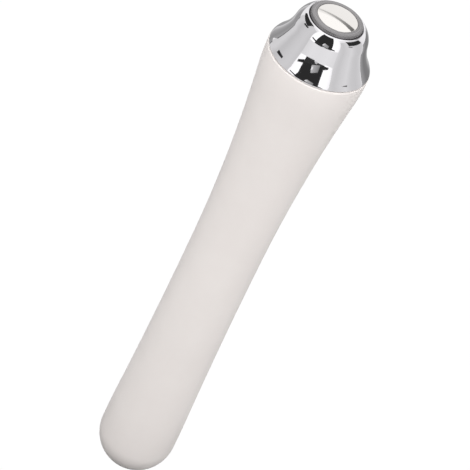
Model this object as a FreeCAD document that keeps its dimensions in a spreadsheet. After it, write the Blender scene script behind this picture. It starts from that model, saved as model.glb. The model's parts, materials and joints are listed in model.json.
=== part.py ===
"""Heated eye massager wand: a soft skin over a rigid core, a motor and heater at the round tip,
one cell in the handle, and a screw cap that carries the push button.

The wand's axis is +Z, with the tip's end at the origin and the button at the top. Lengths are in
millimetres and angles in degrees. Heights are measured from the tip's end, and "inset" is a depth
below the skin's surface.
"""
import FreeCAD, Part
import math
import os

import Sketcher

Vector = FreeCAD.Vector

# Driving sizes, one cell of the sheet each.
SIZES = {
    # outline of the skin: an egg-shaped tip, a waisted barrel and a flare that ends in a lip round the cap
    "tip_pole_radius": 8.2,
    "tip_radius": 9.73,
    "tip_height": 10.28,
    "neck_radius": 8.7,
    "neck_height": 77.3,
    "barrel_share": 0.176,
    "mouth_radius": 11.95,
    "mouth_height": 136.25,
    "flare_share": 0.884,
    "lip_round": 0.35,
    "skin_wall": 1.2,
    # fits
    "seat_gap": 0.05,
    "shaft_gap": 0.03,
    "running_gap": 0.05,
    "touch_gap": 0.1,
    # heated tip
    "dome_wall": 1.0,
    "dome_end": 19.5,
    "spigot_length": 3.5,
    "film_thickness": 0.15,
    "film_start": 6.5,
    "film_end": 15.0,
    "sensor_end": 10.0,
    "thermistor_width": 1.6,
    "thermistor_length": 2.2,
    "cutoff_width": 2.8,
    "cutoff_length": 4.5,
    "sensor_thickness": 1.0,
    # core
    "bay_radius": 6.4,
    "counterbore_radius": 6.9,
    "ledge_height": 23.5,
    "bulkhead_seat": 65.5,
    "mouth_wall": 1.45,
    "seal_depth": 7.35,
    "thread_step": 1.4,
    "thread_length": 12.4,
    # vibration motor
    "motor_radius": 5.0,
    "motor_length": 20.0,
    "motor_edge_round": 0.6,
    "end_cap_length": 2.0,
    "terminal_length": 1.6,
    "terminal_width": 1.2,
    "terminal_thickness": 0.3,
    "terminal_offset": 2.6,
    "shaft_radius": 0.75,
    "shaft_depth": 17.0,
    "bush_radius": 2.0,
    "bush_stand": 1.0,
    "weight_radius": 4.4,
    "weight_length": 6.5,
    "weight_gap": 1.2,
    "weight_hub_radius": 1.8,
    "plate_thickness": 1.6,
    "retainer_thickness": 0.8,
    "retainer_inner_radius": 6.35,
    "retainer_opening": 2.4,
    "damper_length": 3.0,
    "damper_inset": 2.5,
    "notch_width": 1.1,
    "motor_screw_offset": 3.4,
    "motor_screw_radius": 0.7,
    "motor_screw_head_radius": 1.25,
    "motor_screw_head_height": 0.7,
    "motor_screw_grip": 2.2,
    # control board behind the motor
    "bulkhead_thickness": 2.5,
    "board_thickness": 1.0,
    "board_radius": 6.2,
    "rivet_radius": 1.25,
    "rivet_tail": 0.3,
    "contact_radius": 3.6,
    "contact_thickness": 0.4,
    "board_screw_offset": 4.1,
    "board_screw_radius": 0.55,
    "board_screw_head_radius": 1.0,
    "board_screw_head_height": 0.6,
    "board_screw_grip": 1.9,
    "chip_side": 3.0,
    "chip_height": 0.9,
    "chip_offset": 2.9,
    "coil_side": 2.2,
    "coil_height": 1.5,
    "capacitor_length": 2.0,
    "capacitor_width": 1.1,
    "capacitor_height": 0.8,
    "part_spacing": 1.5,
    # cell
    "cell_radius": 5.25,
    "cell_length": 44.5,
    "cell_gap": 0.2,
    "wrap_thickness": 0.1,
    "wrap_fold": 0.7,
    "nub_radius": 2.75,
    "nub_height": 1.0,
    # return path under the skin
    "strip_thickness": 0.3,
    "strip_cover": 0.1,
    "strip_angle": 14.0,
    "channel_angle": 15.0,
    "strip_drop": 3.6,
    "tab_width": 1.6,
    "tab_thickness": 0.3,
    "tab_rise": 0.8,
    "tab_reach": 1.2,
    "ring_thickness": 0.4,
    # cap shell, a bell: an edge that rolls in, a hollow waist and a shoulder that closes on the ring
    "seam_gap": 0.25,
    "cap_step": 0.09,
    "edge_roll_radius": 4.12,
    "edge_roll_start": 20.0,
    "edge_roll_end": 37.96,
    "waist_sweep_radius": 13.24,
    "waist_turn": 28.38,
    "shoulder_radius": 5.024,
    "shoulder_turn": 42.42,
    "rim_round": 0.34,
    "shell_wall": 1.0,
    "ring_seat_depth": 1.85,
    # trim ring
    "trim_gap": 0.09,
    "trim_rise": 0.26,
    "trim_round": 0.35,
    "trim_slope": 7.0,
    "trim_overhang": 0.4,
    "trim_flange_height": 1.2,
    "trim_lip": 0.2,
    "trim_bevel": 0.08,
    "trim_bevel_drop": 0.05,
    # button
    "button_radius": 4.7,
    "button_rise": 0.23,
    "button_round": 0.12,
    "button_crown_radius": 38.0,
    "button_flange_radius": 5.2,
    "button_flange_height": 1.0,
    "button_wall": 0.8,
    "button_roof": 1.57,
    "button_travel": 0.7,
    "pad_thickness": 1.6,
    # insert that screws into the core
    "thread_gap": 0.08,
    "insert_end_gap": 0.6,
    "spring_recess_radius": 5.5,
    "spring_recess_depth": 4.4,
    "insert_floor": 2.0,
    "insert_bore": 5.2,
    "insert_rim": 2.0,
    "seal_groove_depth": 1.22,
    "seal_groove_rise": 3.1,
    "seal_section_radius": 0.6,
    "seal_side_gap": 0.15,
    "cell_spring_wire": 0.3,
    "cell_spring_large": 4.6,
    "cell_spring_small": 2.8,
    "plate_height": 0.6,
    # switch
    "switch_board_inset": 4.86,
    "switch_side": 6.0,
    "switch_height": 1.8,
    "plunger_radius": 1.4,
    "plunger_depth": 0.5,
    "plunger_stand": 1.79,
    "button_spring_wire": 0.2,
    "button_spring_radius": 4.76,
    "cap_screw_circle": 6.1,
    "cap_screw_radius": 0.5,
    "cap_screw_head_radius": 0.85,
    "cap_screw_head_height": 0.6,
    "cap_screw_grip": 2.6,
    # wires
    "wire_radius": 0.4,
    "wire_bend": 4.0,
    "wire_track": 5.85,
    "wire_pad": 5.7,
    "lead_straight": 2.5,
    "lead_bow": 0.9,
    "cap_lead_straight": 2.0,
    "cap_lead_bow": 0.6,
}

NOTCH_COUNT = 4
CAP_SCREW_COUNT = 3
CELL_SPRING_TURNS = 5
BUTTON_SPRING_TURNS = 3
SPRING_STEPS = 10
WIRE_SIDES = 6
FIRST_CAP_SCREW = 60.0
OVERCUT = 1.0

doc = FreeCAD.newDocument("EyeMassagerWand")
sheet = doc.addObject("Spreadsheet::Sheet", "Sizes")
for row, (alias, number) in enumerate(SIZES.items(), start=1):
    sheet.set(f"A{row}", alias)
    sheet.set(f"B{row}", str(number))
    sheet.setAlias(f"B{row}", alias)
doc.recompute()


# ---------------------------------------------------------------------------- formulas on the sheet
def text_of(term):
    return term.text if isinstance(term, Formula) else repr(float(term))


class Formula:
    """Arithmetic on cells of the sheet, kept as the text of an expression, so what it drives stays live."""

    def __init__(self, text):
        self.text = text

    def __add__(self, other):
        return Formula(f"({self.text} + {text_of(other)})")

    def __radd__(self, other):
        return Formula(f"({text_of(other)} + {self.text})")

    def __sub__(self, other):
        return Formula(f"({self.text} - {text_of(other)})")

    def __rsub__(self, other):
        return Formula(f"({text_of(other)} - {self.text})")

    def __mul__(self, other):
        return Formula(f"({self.text} * {text_of(other)})")

    def __rmul__(self, other):
        return Formula(f"({text_of(other)} * {self.text})")

    def __truediv__(self, other):
        return Formula(f"({self.text} / {text_of(other)})")

    def __neg__(self):
        return Formula(f"(0 - {self.text})")


def root(term):
    return Formula(f"sqrt({term.text})")


def sine(term):
    return Formula(f"sin({term.text})")


def cosine(term):
    return Formula(f"cos({term.text})")


def value(term):
    """The present number of a formula, or the number itself."""
    return float(sheet.evalExpression(term.text)) if isinstance(term, Formula) else float(term)


class Sizes:
    """Every size of the sheet by its name, as a formula."""

    def __getattr__(self, alias):
        return Formula("Sizes." + alias)


size = Sizes()
AXIS = 0.0


# ---------------------------------------------------------------------------------- building blocks
nodes = []


def node(item, label):
    item.Label = label
    nodes.append(item)
    return item


def bind(item, **formulas):
    """Tie properties to formulas; at_x, at_y and at_z are the place."""
    for name, term in formulas.items():
        path = "Placement.Base." + name[-1] if name.startswith("at_") else name
        item.setExpression(path, text_of(term))
    return item


def new_body(name):
    return doc.addObject("PartDesign::Body", name)


def origin_plane(body, role):
    return next(plane for plane in body.Origin.OriginFeatures if plane.Role == role)


def empty_sketch(body, name, role):
    sketch = body.newObject("Sketcher::SketchObject", name)
    sketch.AttachmentSupport = (origin_plane(body, role), [""])
    sketch.MapMode = "FlatFace"
    return sketch


def pin(sketch, shape, point, across, along):
    """Hold a point of a sketch at a place given by two formulas, or on an axis where the place is AXIS."""
    for kind, term, axis in (("DistanceX", across, -2), ("DistanceY", along, -1)):
        if term is AXIS:
            sketch.addConstraint(Sketcher.Constraint("PointOnObject", shape, point, axis))
        else:
            held = sketch.addConstraint(Sketcher.Constraint(kind, -1, 1, shape, point, value(term)))
            sketch.setExpression(f"Constraints[{held}]", text_of(term))


def arc_between(start, end, radius, side):
    """The shorter arc from start to end; side is 1 where its centre lies left of the way, or else -1."""
    chord = end - start
    middle = (start + end) * 0.5
    left = Vector(-chord.y, chord.x, 0).normalize()
    centre = middle + left * side * math.sqrt(max(radius ** 2 - (chord.Length / 2) ** 2, 0.0))
    angles = [math.atan2(spot.y - centre.y, spot.x - centre.x) for spot in (start, end)]
    if side < 0:
        angles.reverse()
    return Part.ArcOfCircle(Part.Circle(centre, Vector(0, 0, 1), radius), angles[0], angles[1])


def outline(body, name, corners, role="XZ_Plane"):
    """A closed section. A corner is (across, along) when a line leads to it, and
    (across, along, radius, side) when an arc does."""
    sketch = empty_sketch(body, name, role)
    spots = [Vector(value(corner[0]), value(corner[1]), 0) for corner in corners]
    tails = []
    heads = []
    for index, corner in enumerate(corners):
        start = spots[index - 1]
        end = spots[index]
        if len(corner) == 2:
            sketch.addGeometry(Part.LineSegment(start, end))
        else:
            sketch.addGeometry(arc_between(start, end, value(corner[2]), corner[3]))
        turned = len(corner) == 4 and corner[3] < 0
        tails.append(2 if turned else 1)
        heads.append(1 if turned else 2)
    for index, corner in enumerate(corners):
        after = (index + 1) % len(corners)
        sketch.addConstraint(Sketcher.Constraint("Coincident", index, heads[index], after, tails[after]))
        pin(sketch, index, heads[index], corner[0], corner[1])
        if len(corner) == 4:
            held = sketch.addConstraint(Sketcher.Constraint("Radius", index, value(corner[2])))
            sketch.setExpression(f"Constraints[{held}]", text_of(corner[2]))
    return sketch


def circles(body, name, spots, role="XY_Plane"):
    """A sketch of full circles, each (across, along, radius)."""
    sketch = empty_sketch(body, name, role)
    for across, along, radius in spots:
        centre = Vector(value(across), value(along), 0)
        shape = sketch.addGeometry(Part.Circle(centre, Vector(0, 0, 1), value(radius)))
        pin(sketch, shape, 3, across, along)
        held = sketch.addConstraint(Sketcher.Constraint("Radius", shape, value(radius)))
        sketch.setExpression(f"Constraints[{held}]", text_of(radius))
    return sketch


def revolve(body, sketch, kind="Revolution", angle=None):
    """Turn a section about the wand's axis, all round, or by an angle centred on the section."""
    feature = body.newObject("PartDesign::" + kind, sketch.Name + "Turned")
    feature.Profile = sketch
    feature.ReferenceAxis = (sketch, ["V_Axis"])
    if angle is None:
        feature.Angle = 360
    else:
        feature.Midplane = True
        bind(feature, Angle=angle)
    return feature


def turned(name, label, corners):
    """A node that is one turned section."""
    body = new_body(name)
    revolve(body, outline(body, name + "Section", corners))
    return node(body, label)


def tube_section(inner, outer, low, high):
    """Corners of a ring's or disc's section."""
    return [(inner, low), (outer, low), (outer, high), (inner, high)]


def rod(name, radius, low, high, at_x=AXIS, at_y=AXIS):
    item = doc.addObject("Part::Cylinder", name)
    return bind(item, Radius=radius, Height=high - low, at_x=at_x, at_y=at_y, at_z=low)


def block(name, low_corner, high_corner):
    item = doc.addObject("Part::Box", name)
    sides = [high - low for low, high in zip(low_corner, high_corner)]
    bind(item, Length=sides[0], Width=sides[1], Height=sides[2])
    return bind(item, at_x=low_corner[0], at_y=low_corner[1], at_z=low_corner[2])


def joined(name, pieces):
    item = doc.addObject("Part::MultiFuse", name)
    item.Shapes = pieces
    return item


def cut(name, base, tool):
    item = doc.addObject("Part::Cut", name)
    item.Base = base
    item.Tool = tool
    return item


def group(name, pieces):
    item = doc.addObject("Part::Compound", name)
    item.Links = pieces
    return item


# ------------------------------------------------------------------------------ outline of the wand
# Barrel and flare are each two tangent arcs that leave and arrive parallel to the axis. For a run of length L
# that steps by D across, the two radii add up to (L^2 + D^2) / 2D.
barrel_run = size.neck_height - size.tip_height
barrel_step = size.tip_radius - size.neck_radius
barrel_sum = (barrel_run * barrel_run + barrel_step * barrel_step) / (2 * barrel_step)
barrel_first = size.barrel_share * barrel_sum
barrel_second = barrel_sum - barrel_first

lip_start = size.mouth_height - size.lip_round
flare_run = lip_start - size.neck_height
flare_step = size.mouth_radius - size.neck_radius
flare_sum = (flare_run * flare_run + flare_step * flare_step) / (2 * flare_step)
flare_first = size.flare_share * flare_sum
flare_second = flare_sum - flare_first

# The egg-shaped tip is a pole arc inside a larger side arc, tangent where they meet.
nose_rise = size.tip_height - size.tip_pole_radius
nose_side = (
    size.tip_radius * size.tip_radius + nose_rise * nose_rise - size.tip_pole_radius * size.tip_pole_radius
) / (2 * (size.tip_radius - size.tip_pole_radius))


def pole(inset):
    return (AXIS, inset)


def nose_meet(inset):
    reach = (size.tip_pole_radius - inset) / (nose_side - size.tip_pole_radius)
    across = reach * (nose_side - size.tip_radius)
    return (across, size.tip_pole_radius - reach * nose_rise, size.tip_pole_radius - inset, 1)


def tip_widest(inset):
    return (size.tip_radius - inset, size.tip_height, nose_side - inset, 1)


def barrel_meet(inset):
    reach = barrel_first - inset
    across = size.tip_radius - barrel_first + reach * (1 - barrel_step / barrel_sum)
    return (across, size.tip_height + reach * barrel_run / barrel_sum, reach, 1)


def neck(inset):
    return (size.neck_radius - inset, size.neck_height, barrel_second + inset, -1)


def flare_meet(inset):
    reach = flare_first + inset
    across = size.neck_radius + flare_first + reach * (flare_step / flare_sum - 1)
    return (across, size.neck_height + reach * flare_run / flare_sum, reach, -1)


def flare_end(inset):
    return (size.mouth_radius - inset, lip_start, flare_second - inset, 1)


def nose_at(height, inset):
    """A corner on the tip's side arc at a height."""
    reach = nose_side - inset
    rise = height - size.tip_height
    return (size.tip_radius - nose_side + root(reach * reach - rise * rise), height)


def barrel_at(height, inset):
    """A corner on the barrel's first arc at a height."""
    reach = barrel_first - inset
    rise = height - size.tip_height
    return (size.tip_radius - barrel_first + root(reach * reach - rise * rise), height)


def waist_at(height, inset):
    """A corner on the barrel's second arc at a height."""
    reach = barrel_second + inset
    rise = size.neck_height - height
    return (size.neck_radius + barrel_second - root(reach * reach - rise * rise), height)


def flare_at(height, inset):
    """A corner on the flare's first arc at a height."""
    reach = flare_first + inset
    rise = height - size.neck_height
    return (size.neck_radius + flare_first - root(reach * reach - rise * rise), height)


def arc_to(corner, radius, side):
    """The same corner, reached along an arc."""
    return (corner[0], corner[1], radius, side)


def reversed_path(corners):
    """The same corners walked the other way; each arc stays on the edge that it belongs to."""
    back = []
    for index in range(len(corners) - 1, -1, -1):
        corner = corners[index]
        later = corners[index + 1] if index + 1 < len(corners) else corner[:2]
        back.append(corner[:2] if len(later) == 2 else (corner[0], corner[1], later[2], -later[3]))
    return back


# --------------------------------------------------------------------------------------------- skin
def silicone_sleeve():
    wall = size.skin_wall
    outside = [
        pole(0), nose_meet(0), tip_widest(0), barrel_meet(0), neck(0), flare_meet(0), flare_end(0),
        (size.mouth_radius - size.lip_round, size.mouth_height, size.lip_round, 1),
    ]
    inside = [
        pole(wall), nose_meet(wall), tip_widest(wall), barrel_meet(wall), neck(wall), flare_meet(wall),
        flare_end(wall), (size.mouth_radius - wall, size.mouth_height),
    ]
    turned("SiliconeSleeve", "silicone_sleeve", outside + reversed_path(inside))


# --------------------------------------------------------------------------------------- heated tip
dome_inset = size.skin_wall + size.dome_wall
film_outset = dome_inset + size.seat_gap
film_inset = film_outset + size.film_thickness


def heat_dome():
    outer = size.skin_wall + size.touch_gap
    outside = [
        pole(outer), nose_meet(outer), tip_widest(outer),
        arc_to(barrel_at(size.dome_end, outer), barrel_first - outer, 1),
    ]
    inside = [
        pole(dome_inset), nose_meet(dome_inset), tip_widest(dome_inset),
        arc_to(barrel_at(size.dome_end, dome_inset), barrel_first - dome_inset, 1),
    ]
    turned("HeatDome", "heat_dome", outside + reversed_path(inside))


def heater_film():
    outside = [
        nose_at(size.film_start, film_outset), tip_widest(film_outset),
        arc_to(barrel_at(size.film_end, film_outset), barrel_first - film_outset, 1),
    ]
    inside = [
        nose_at(size.film_start, film_inset), tip_widest(film_inset),
        arc_to(barrel_at(size.film_end, film_inset), barrel_first - film_inset, 1),
    ]
    turned("HeaterFilm", "heater_film", outside + reversed_path(inside))


def sensor_face(width, length):
    """The outer face of a flat sensor whose front corners clear the film."""
    corner_reach = nose_at(size.sensor_end - length, film_inset)[0]
    return root(corner_reach * corner_reach - width * width / 4) - size.touch_gap


def tip_sensor(name, label, width, length, side):
    """A flat sensor inside the film, on +Y or -Y, with its back end where its wire starts."""
    outer = sensor_face(width, length)
    inner = outer - size.sensor_thickness
    low, high = (inner, outer) if side > 0 else (-outer, -inner)
    corner = (-(width / 2), low, size.sensor_end - length)
    node(block(name, corner, (width / 2, high, size.sensor_end)), label)


# --------------------------------------------------------------------------------------------- core
cell_bore = size.cell_radius + size.cell_gap
seal_start = size.mouth_height - size.seal_depth
seal_bore_radius = size.mouth_radius - size.skin_wall - size.mouth_wall
thread_start = seal_start - size.thread_length
thread_radius = seal_bore_radius - size.thread_step
strip_start = size.bulkhead_seat - size.strip_drop
tab_low = seal_start + size.touch_gap / 2
strip_end = tab_low + size.tab_thickness
spigot_start = size.dome_end - size.spigot_length
groove_depth = size.skin_wall + size.strip_cover + size.strip_thickness + size.seat_gap


def strip_section(near, far, start, end):
    """The section of a strip under the skin, from a height on the waist to a height on the flare."""
    outside = [
        waist_at(start, near),
        arc_to(neck(near), barrel_second + near, -1),
        arc_to(flare_at(end, near), flare_first + near, -1),
    ]
    inside = [
        waist_at(start, far),
        arc_to(neck(far), barrel_second + far, -1),
        arc_to(flare_at(end, far), flare_first + far, -1),
    ]
    return outside + reversed_path(inside)


def core_tube():
    wall = size.skin_wall
    spigot = dome_inset + size.seat_gap
    outside = [
        barrel_at(spigot_start, spigot),
        arc_to(barrel_at(size.dome_end, spigot), barrel_first - spigot, 1),
        barrel_at(size.dome_end, wall),
        barrel_meet(wall), neck(wall), flare_meet(wall), flare_end(wall),
        (size.mouth_radius - wall, size.mouth_height),
    ]
    inside = [
        (seal_bore_radius, size.mouth_height),
        (seal_bore_radius, seal_start),
        (thread_radius, seal_start),
        (thread_radius, thread_start),
        (cell_bore, thread_start),
        (cell_bore, size.bulkhead_seat),
        (size.bay_radius, size.bulkhead_seat),
        (size.bay_radius, size.ledge_height),
        (size.counterbore_radius, size.ledge_height),
        (size.counterbore_radius, spigot_start),
    ]
    body = new_body("CoreTube")
    revolve(body, outline(body, "CoreSection", outside + inside))
    channel = outline(body, "ChannelSection", strip_section(
        wall - size.touch_gap, groove_depth, strip_start - size.touch_gap, strip_end + size.touch_gap
    ))
    revolve(body, channel, "Groove", size.channel_angle)
    tabs = joined("TabSlots", [tab_slot("LowerSlot", lower_tab()), tab_slot("UpperSlot", upper_tab())])
    node(cut("CoreWithSlots", body, tabs), "core_tube")


def lower_tab():
    """From the strip through the core's wall to the control board's edge."""
    low = size.bulkhead_seat - size.bulkhead_thickness - size.board_thickness + size.touch_gap
    return (size.board_radius + size.seat_gap, waist_at(low, groove_depth)[0], low)


def upper_tab():
    """From the strip through the core's wall to the contact ring in the mouth."""
    return (seal_bore_radius, flare_at(strip_end, groove_depth)[0], tab_low)


def tab_slot(name, tab):
    near, far, low = tab
    half = size.tab_width / 2 + size.seat_gap
    gap = size.seat_gap
    return block(name, (near - OVERCUT, -half, low - gap), (far + gap, half, low + size.tab_thickness + gap))


def return_strip():
    near = size.skin_wall + size.strip_cover
    body = new_body("ReturnStrip")
    section = outline(body, "StripSection", strip_section(
        near, near + size.strip_thickness, strip_start, strip_end
    ))
    revolve(body, section, "Revolution", size.strip_angle)
    half = size.tab_width / 2
    pieces = [body]
    for name, (inner, far, low) in (("LowerTab", lower_tab()), ("UpperTab", upper_tab())):
        reach = far + size.seat_gap + size.strip_thickness / 2
        pieces.append(block(name, (inner, -half, low), (reach, half, low + size.tab_thickness)))
    node(joined("StripWithTabs", pieces), "return_strip")


def mouth_contact():
    inner = thread_radius + size.touch_gap
    outer = seal_bore_radius - size.seat_gap
    section = tube_section(inner, outer, seal_start, seal_start + size.ring_thickness)
    turned("MouthContact", "mouth_contact", section)


# -------------------------------------------------------------------------------------------- motor
plate_front = size.ledge_height - size.plate_thickness
motor_back = size.ledge_height + size.motor_length
shaft_bore = size.shaft_radius + size.shaft_gap
weight_back = plate_front - size.bush_stand - size.weight_gap
shaft_front = weight_back - size.weight_length - size.touch_gap


def screw_pair(name, offset, radius, head_radius, head_low, head_high, tip, along_y=False):
    """Two screws either side of the axis, heads towards the tip."""
    screws = []
    for side in (1, -1):
        spot = {"at_y": offset * side} if along_y else {"at_x": offset * side}
        shank = rod(f"{name}Shank{side + 1}", radius, head_high, tip, **spot)
        head = rod(f"{name}Head{side + 1}", head_radius, head_low, head_high, **spot)
        screws.append(joined(f"{name}{side + 1}", [head, shank]))
    return group(name, screws)


def screw_holes(name, offset, radius, low, high, along_y=False):
    """Clearance holes for a screw pair."""
    holes = []
    for side in (1, -1):
        spot = {"at_y": offset * side} if along_y else {"at_x": offset * side}
        holes.append(rod(f"{name}{side + 1}", radius + size.seat_gap, low, high, **spot))
    return joined(name, holes)


motor_screw_tip = size.ledge_height + size.motor_screw_grip


def motor_can():
    edge = size.motor_edge_round
    section = [
        (shaft_bore, size.ledge_height),
        (size.motor_radius - edge, size.ledge_height),
        (size.motor_radius, size.ledge_height + edge, edge, 1),
        (size.motor_radius, motor_back),
        (shaft_bore, motor_back),
    ]
    body = new_body("MotorCan")
    revolve(body, outline(body, "CanSection", section))
    holes = screw_holes(
        "CanHole", size.motor_screw_offset, size.motor_screw_radius,
        size.ledge_height, motor_screw_tip + size.touch_gap,
    )
    node(cut("CanDrilled", body, holes), "motor_can")


def motor_end_cap():
    edge = size.motor_edge_round
    back = motor_back + size.end_cap_length
    section = [
        (AXIS, motor_back),
        (size.motor_radius - size.seat_gap, motor_back),
        (size.motor_radius - size.seat_gap, back - edge),
        (size.motor_radius - edge - size.seat_gap, back, edge, 1),
        (AXIS, back),
    ]
    turned("MotorEndCap", "motor_end_cap", section)


def motor_terminals():
    low = motor_back + size.end_cap_length
    half = size.terminal_width / 2
    tabs = []
    for side in (1, -1):
        middle = size.terminal_offset * side
        thick = size.terminal_thickness / 2
        tabs.append(block(
            f"Terminal{side + 1}",
            (-half, middle - thick, low),
            (half, middle + thick, low + size.terminal_length),
        ))
    node(group("MotorTerminals", tabs), "motor_terminals")


def motor_bush():
    section = tube_section(shaft_bore, size.bush_radius, plate_front - size.bush_stand, size.ledge_height)
    turned("MotorBush", "motor_bush", section)


def motor_shaft():
    back = size.ledge_height + size.shaft_depth
    node(rod("MotorShaft", size.shaft_radius, shaft_front, back), "motor_shaft")


def eccentric_weight():
    """A half disc with a hub on the shaft."""
    low = weight_back - size.weight_length
    disc = rod("WeightDisc", size.weight_radius, low, weight_back)
    away = block(
        "WeightAway",
        (-(size.weight_radius + OVERCUT), AXIS, low - OVERCUT),
        (size.weight_radius + OVERCUT, size.weight_radius + OVERCUT, weight_back + OVERCUT),
    )
    half = cut("WeightHalf", disc, away)
    hub = rod("WeightHub", size.weight_hub_radius, low, weight_back)
    bore = rod("WeightBore", size.shaft_radius, low - OVERCUT, weight_back + OVERCUT)
    node(cut("EccentricWeight", joined("WeightWhole", [half, hub]), bore), "eccentric_weight")


notch_floor = size.wire_track - size.wire_radius - size.touch_gap


def notched_ring(name, label, corners, low, high, extra_holes=None):
    """A turned ring with slots across it for the wires that run past."""
    body = new_body(name)
    revolve(body, outline(body, name + "Section", corners))
    half = size.notch_width / 2
    far = size.counterbore_radius + OVERCUT
    slot = outline(body, name + "Notch", [
        (notch_floor, -half), (far, -half), (far, half), (notch_floor, half),
    ], "XY_Plane")
    bind(slot, **{"AttachmentOffset.Base.z": low - OVERCUT})
    pocket = body.newObject("PartDesign::Pocket", name + "NotchCut")
    pocket.Profile = slot
    pocket.Reversed = True
    bind(pocket, Length=high - low + 2 * OVERCUT)
    swing = body.newObject("PartDesign::PolarPattern", name + "Notches")
    swing.Originals = [pocket]
    swing.Axis = (slot, ["N_Axis"])
    swing.Angle = 360
    swing.Occurrences = NOTCH_COUNT
    body.Tip = swing
    item = cut(name + "Drilled", body, extra_holes) if extra_holes else body
    node(item, label)


def motor_mount():
    outer = size.counterbore_radius - size.seat_gap
    holes = screw_holes(
        "PlateHole", size.motor_screw_offset, size.motor_screw_radius,
        plate_front - OVERCUT, size.ledge_height + OVERCUT,
    )
    notched_ring(
        "MotorMount", "motor_mount",
        tube_section(size.bush_radius + size.seat_gap, outer, plate_front, size.ledge_height),
        plate_front, size.ledge_height, holes,
    )


def dampers():
    outer = size.bay_radius - size.seat_gap
    front = size.ledge_height + size.damper_inset
    back = motor_back - size.damper_inset - size.damper_length
    for name, label, low in (("FrontDamper", "front_damper", front), ("RearDamper", "rear_damper", back)):
        high = low + size.damper_length
        corners = tube_section(size.motor_radius + size.seat_gap, outer, low, high)
        notched_ring(name, label, corners, low, high)


def mount_retainer():
    """A split ring that holds the mount down on the core's ledge."""
    low = plate_front - size.retainer_thickness
    ring = turned_blank(
        "RetainerBlank",
        tube_section(size.retainer_inner_radius, size.counterbore_radius - size.seat_gap, low, plate_front),
    )
    half = size.retainer_opening / 2
    opening = block(
        "RetainerOpening",
        (AXIS, -half, low - OVERCUT),
        (size.counterbore_radius + OVERCUT, half, plate_front + OVERCUT),
    )
    node(cut("MountRetainer", ring, opening), "mount_retainer")


def turned_blank(name, corners):
    body = new_body(name)
    revolve(body, outline(body, name + "Section", corners))
    return body


def motor_screws():
    node(screw_pair(
        "MotorScrews", size.motor_screw_offset, size.motor_screw_radius, size.motor_screw_head_radius,
        plate_front - size.motor_screw_head_height, plate_front, motor_screw_tip,
    ), "motor_screws")


# ------------------------------------------------------------------------------------ control board
bulkhead_front = size.bulkhead_seat - size.bulkhead_thickness
board_front = bulkhead_front - size.board_thickness
board_screw_tip = bulkhead_front + size.board_screw_grip


def bulkhead():
    outer = size.bay_radius - size.seat_gap
    disc = turned_blank(
        "BulkheadBlank",
        tube_section(size.rivet_radius + size.seat_gap, outer, bulkhead_front, size.bulkhead_seat),
    )
    holes = screw_holes(
        "BulkheadHole", size.board_screw_offset, size.board_screw_radius,
        bulkhead_front - OVERCUT, board_screw_tip + size.touch_gap, along_y=True,
    )
    node(cut("Bulkhead", disc, holes), "bulkhead")


def control_board():
    disc = turned_blank(
        "BoardBlank",
        tube_section(size.rivet_radius + size.seat_gap, size.board_radius, board_front, bulkhead_front),
    )
    holes = screw_holes(
        "BoardHole", size.board_screw_offset, size.board_screw_radius,
        board_front - OVERCUT, bulkhead_front + OVERCUT, along_y=True,
    )
    node(cut("ControlBoard", disc, holes), "control_board")


def board_screws():
    node(screw_pair(
        "BoardScrews", size.board_screw_offset, size.board_screw_radius, size.board_screw_head_radius,
        board_front - size.board_screw_head_height, board_front, board_screw_tip, along_y=True,
    ), "board_screws")


def driver_chip():
    half = size.chip_side / 2
    node(block(
        "DriverChip",
        (size.chip_offset - half, -half, board_front - size.chip_height),
        (size.chip_offset + half, half, board_front),
    ), "driver_chip")


def board_parts():
    half = size.coil_side / 2
    centre = -size.chip_offset
    coil = block(
        "PowerCoil",
        (centre - half, -half, board_front - size.coil_height),
        (centre + half, half, board_front),
    )
    pieces = [coil]
    for side in (1, -1):
        middle = (half + size.part_spacing) * side
        across = size.capacitor_width / 2
        pieces.append(block(
            f"Capacitor{side + 1}",
            (centre - size.capacitor_length / 2, middle - across, board_front - size.capacitor_height),
            (centre + size.capacitor_length / 2, middle + across, board_front),
        ))
    node(group("BoardParts", pieces), "board_parts")


def front_contact():
    """A rivet through bulkhead and board whose head the cell stands on."""
    section = [
        (AXIS, board_front - size.rivet_tail),
        (size.rivet_radius, board_front - size.rivet_tail),
        (size.rivet_radius, size.bulkhead_seat),
        (size.contact_radius, size.bulkhead_seat),
        (size.contact_radius, size.bulkhead_seat + size.contact_thickness),
        (AXIS, size.bulkhead_seat + size.contact_thickness),
    ]
    turned("FrontContact", "front_contact", section)


# --------------------------------------------------------------------------------------------- cell
cell_low = size.bulkhead_seat + size.contact_thickness + size.touch_gap
cell_high = cell_low + size.cell_length
can_low = cell_low + size.nub_height
can_radius = size.cell_radius - size.wrap_thickness


def cell():
    turned("CellCan", "cell_can", tube_section(
        AXIS, can_radius, can_low + size.wrap_thickness, cell_high - size.wrap_thickness
    ))
    turned("CellNub", "cell_nub", [
        (AXIS, cell_low),
        (size.nub_radius, cell_low),
        (size.nub_radius, can_low + size.wrap_thickness),
        (AXIS, can_low + size.wrap_thickness),
    ])
    fold = size.cell_radius - size.wrap_fold
    turned("CellWrap", "cell_wrap", [
        (fold, can_low),
        (size.cell_radius, can_low),
        (size.cell_radius, cell_high),
        (fold, cell_high),
        (fold, cell_high - size.wrap_thickness),
        (can_radius, cell_high - size.wrap_thickness),
        (can_radius, can_low + size.wrap_thickness),
        (fold, can_low + size.wrap_thickness),
    ])


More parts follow.
